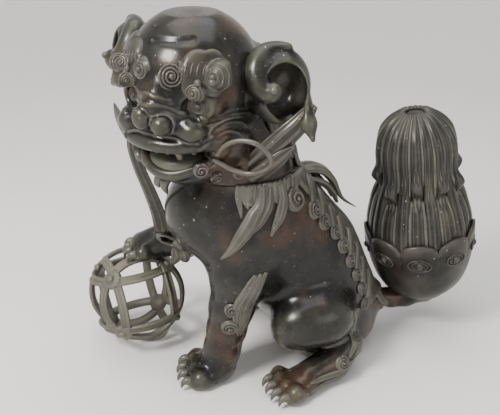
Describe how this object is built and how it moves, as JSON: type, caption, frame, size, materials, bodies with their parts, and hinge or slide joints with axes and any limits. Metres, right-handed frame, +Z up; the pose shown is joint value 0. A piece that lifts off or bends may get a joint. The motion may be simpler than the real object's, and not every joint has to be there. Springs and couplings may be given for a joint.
{
  "type": "guardian lion incense burner",
  "caption": "Seated bronze guardian lion, hollow, with a lift-off head, a paw on an openwork ball and a plug-in pierced tail; burns incense inside.",
  "frame": {"origin": "centre of the bounding box, on the ground under the feet", "axes": "+Z up, the lion sits facing -Y, its left side is +X"},
  "size_m": [0.183, 0.3336, 0.296],
  "materials": {
    "bronze": "dark brown patina, polished by handling",
    "bronze_relief": "grey-green patina in cast hair, rubbed on the ridges",
    "ball_bronze": "dry grey-green patina with ochre inside",
    "tail_bronze": "grey-green patina between rubbed flutes",
    "eye_bronze": "dark, glossy",
    "cup_copper": "dull, heat-stained"
  },
  "bodies": {
    "body": {"torso_shell": "bronze", "belly_cover": "bronze", "neck_ledge": "bronze", "left_foreleg": "bronze", "right_foreleg": "bronze", "left_hind_leg": "bronze", "right_hind_leg": "bronze", "nape_mane": "bronze_relief", "spine_mane": "bronze_relief", "spine_curls": "bronze_relief", "left_shoulder_locks": "bronze_relief", "right_shoulder_locks": "bronze_relief", "left_elbow_tuft": "bronze_relief", "left_hock_fringe": "bronze_relief", "right_hock_fringe": "bronze_relief", "tail_socket": "bronze", "brocade_ball": "ball_bronze", "ball_studs": "ball_bronze", "ball_pin": "bronze", "wrist_bow": "bronze_relief"},
    "cup": {"incense_cup": "cup_copper"},
    "head": {"head_shell": "bronze", "lower_jaw": "bronze", "tongue": "bronze", "upper_teeth": "bronze_relief", "lower_teeth": "bronze_relief", "left_eye": "eye_bronze", "right_eye": "eye_bronze", "left_brow": "bronze_relief", "right_brow": "bronze_relief", "left_ear": "bronze", "right_ear": "bronze", "head_mane": "bronze_relief", "left_flame_lock": "bronze_relief", "right_flame_lock": "bronze_relief", "beard": "bronze_relief", "mouth_ribbon": "bronze_relief", "ribbon_loop": "bronze_relief", "head_spigot": "bronze"},
    "tail": {"tail_stem": "bronze", "tail_cup": "tail_bronze", "tail_plume": "tail_bronze", "tail_ring": "tail_bronze"}
  },
  "joints": [
    {"name": "head_lift", "type": "slide", "parent": "body", "child": "head", "axis": [0, 0, 1], "range_m": [0, 0.12]},
    {"name": "cup_lift", "type": "slide", "parent": "body", "child": "cup", "axis": [0, 0, 1], "range_m": [0, 0.016]},
    {"name": "tail_pull", "type": "slide", "parent": "body", "child": "tail", "axis": [0, 0.9397, 0.342], "range_m": [0, 0.024]}
  ]
}
